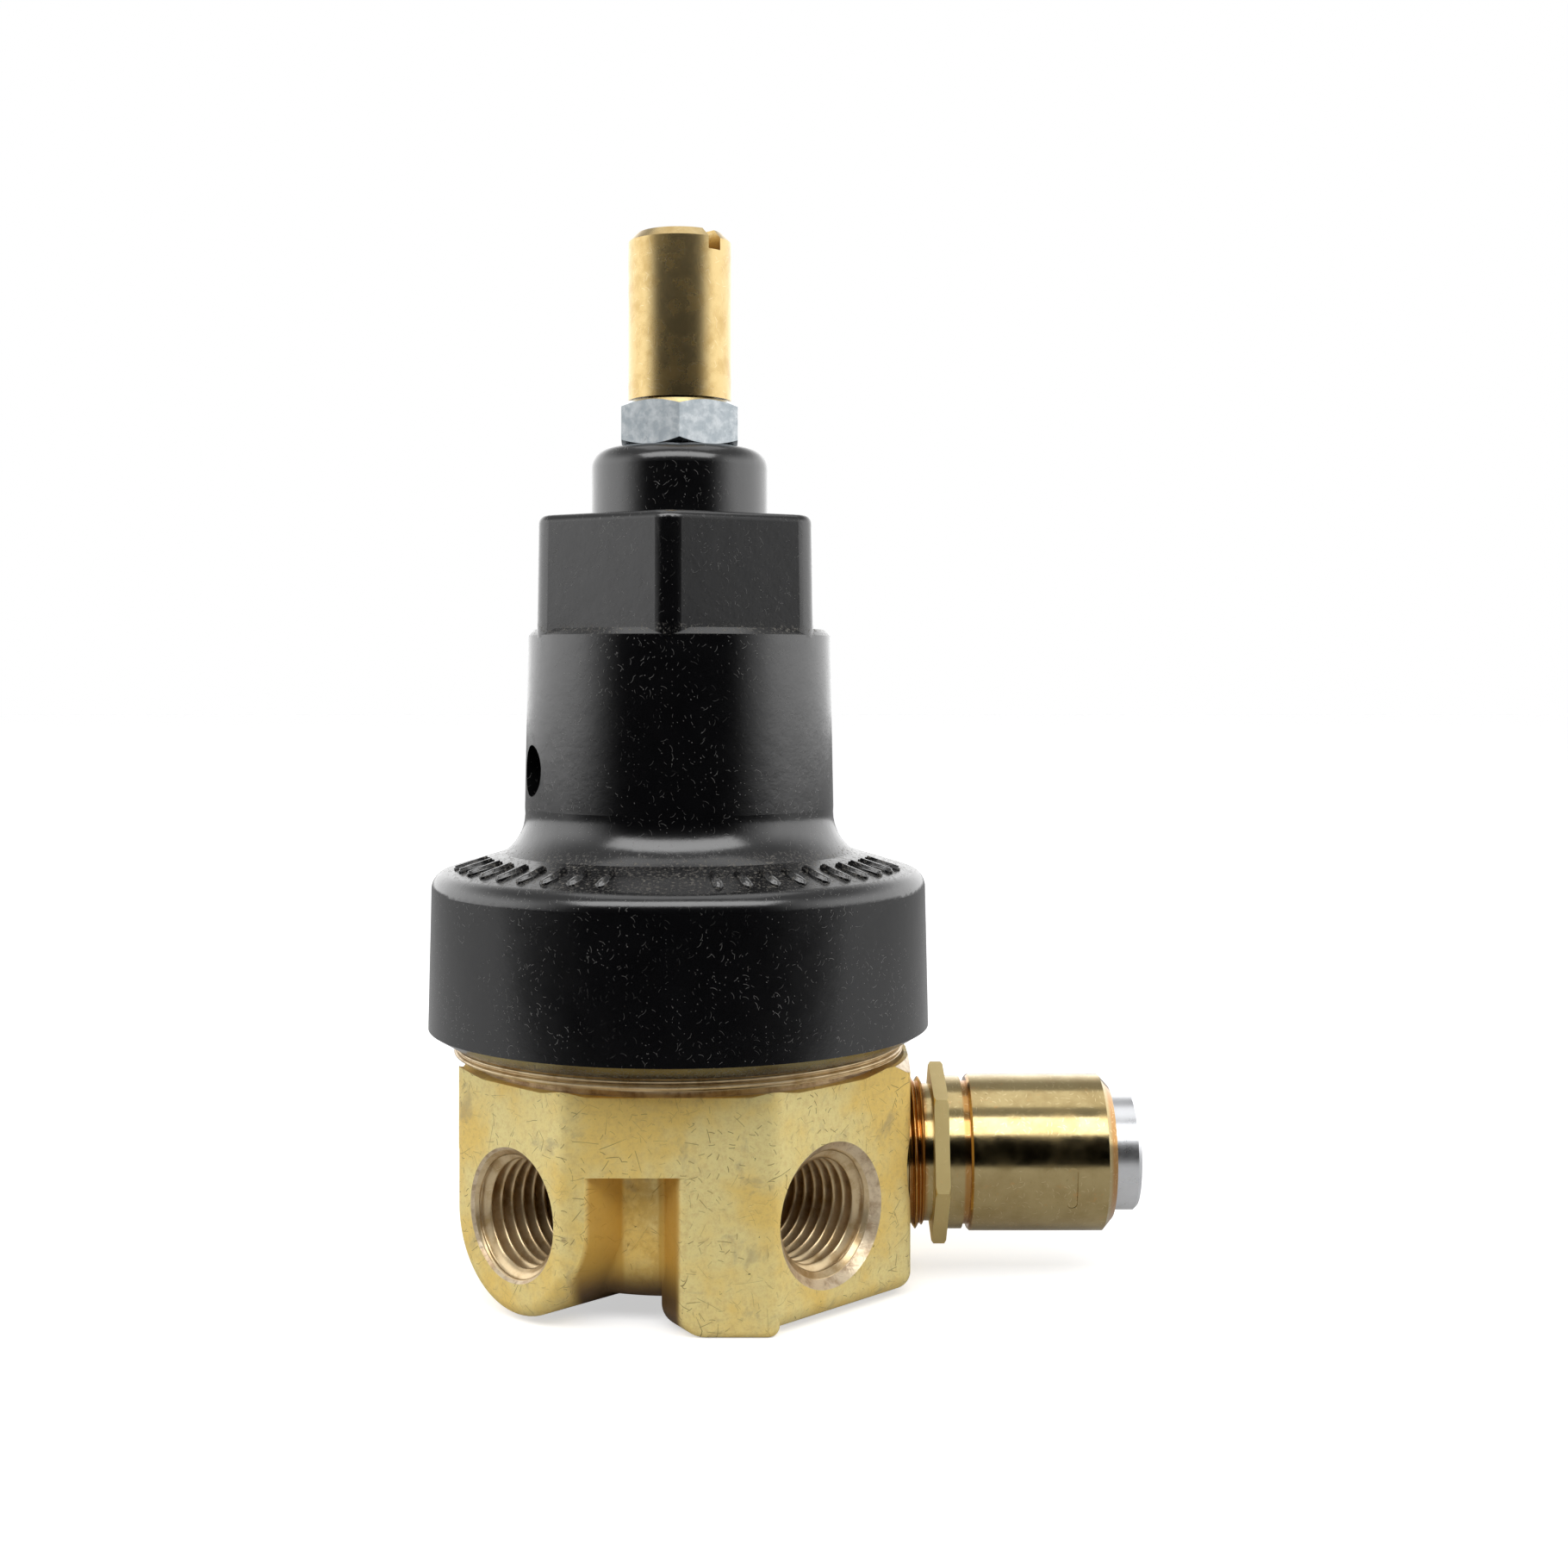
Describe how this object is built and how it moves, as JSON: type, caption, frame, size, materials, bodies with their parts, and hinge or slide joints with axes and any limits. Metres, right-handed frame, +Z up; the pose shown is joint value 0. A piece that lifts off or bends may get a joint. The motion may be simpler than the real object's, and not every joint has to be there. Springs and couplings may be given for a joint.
{
  "type": "air pressure regulator",
  "caption": "Compact diaphragm pressure regulator with a forged brass body, threaded side ports, a black bonnet, a slotted adjusting screw and a side relief valve.",
  "frame": {"origin": "on the spring axis, on the plane that the body stands on", "axes": "+Z up the adjusting screw, +X out along the relief valve, -Y towards the front between the two ports"},
  "size_m": [0.0796, 0.0562, 0.1179],
  "materials": {
    "forged_brass": "as-forged with tarnish and fine scratches",
    "turned_brass": "turned",
    "screw_brass": "satin, tarnished",
    "relief_brass": "bright turned",
    "plated_steel": "zinc plated",
    "spring_steel": "oiled wire",
    "plug_aluminium": "turned",
    "bonnet_plastic": "moulded matte black",
    "seal_rubber": "nitrile",
    "diaphragm_rubber": "fabric-reinforced nitrile",
    "fibre": "pressed fibre",
    "sintered_bronze": "sintered"
  },
  "bodies": {
    "body": {"regulator_body": "forged_brass", "valve_seat": "turned_brass", "bottom_plug": "turned_brass", "bottom_plug_o_ring": "seal_rubber", "inlet_filter": "sintered_bronze", "diaphragm": "diaphragm_rubber", "slip_ring": "fibre", "range_spring": "spring_steel", "poppet_spring": "spring_steel", "bonnet": "bonnet_plastic", "bonnet_insert": "turned_brass", "relief_base": "relief_brass", "relief_barrel": "relief_brass", "relief_plug": "plug_aluminium", "relief_spring": "spring_steel"},
    "spring_carrier": {"spring_button": "plated_steel"},
    "adjuster": {"adjusting_screw": "screw_brass"},
    "lock_nut": {"lock_nut": "plated_steel"},
    "diaphragm_stack": {"diaphragm_bolt": "turned_brass", "diaphragm_washer": "plated_steel", "diaphragm_plate": "plated_steel", "diaphragm_nut": "plated_steel"},
    "poppet": {"poppet": "turned_brass", "poppet_seal": "seal_rubber"},
    "relief_poppet": {"relief_poppet": "turned_brass", "relief_poppet_seal": "seal_rubber"}
  },
  "joints": [
    {"name": "spring_button_slide", "type": "slide", "parent": "body", "child": "spring_carrier", "axis": [0, 0, 1], "range_m": [0, 0.00635], "deforming": ["range_spring"]},
    {"name": "adjusting_screw_turn", "type": "hinge", "parent": "spring_carrier", "child": "adjuster", "pos_m": [0, 0, 0.0981], "axis": [0, 0, 1], "range_deg": [0, 1800]},
    {"name": "lock_nut_turn", "type": "hinge", "parent": "body", "child": "lock_nut", "pos_m": [0, 0, 0.0961], "axis": [0, 0, 1], "range_deg": [0, 60]},
    {"name": "diaphragm_stroke", "type": "slide", "parent": "body", "child": "diaphragm_stack", "axis": [0, 0, 1], "range_m": [-0.0008, 0], "stiffness_N_per_m": 2000, "springref_m": 0.002, "deforming": ["diaphragm"]},
    {"name": "poppet_stroke", "type": "slide", "parent": "body", "child": "poppet", "axis": [0, 0, 1], "range_m": [-0.0008, 0], "deforming": ["poppet_spring"]},
    {"name": "relief_stroke", "type": "slide", "parent": "body", "child": "relief_poppet", "axis": [1, 0, 0], "range_m": [0, 0.001], "stiffness_N_per_m": 2000, "springref_m": -0.002, "deforming": ["relief_spring"]}
  ],
  "couplings": [
    {"joint": "spring_button_slide", "follows": "adjusting_screw_turn", "m_per_rad": 0.00020213},
    {"joint": "poppet_stroke", "follows": "diaphragm_stroke", "ratio": 1}
  ]
}
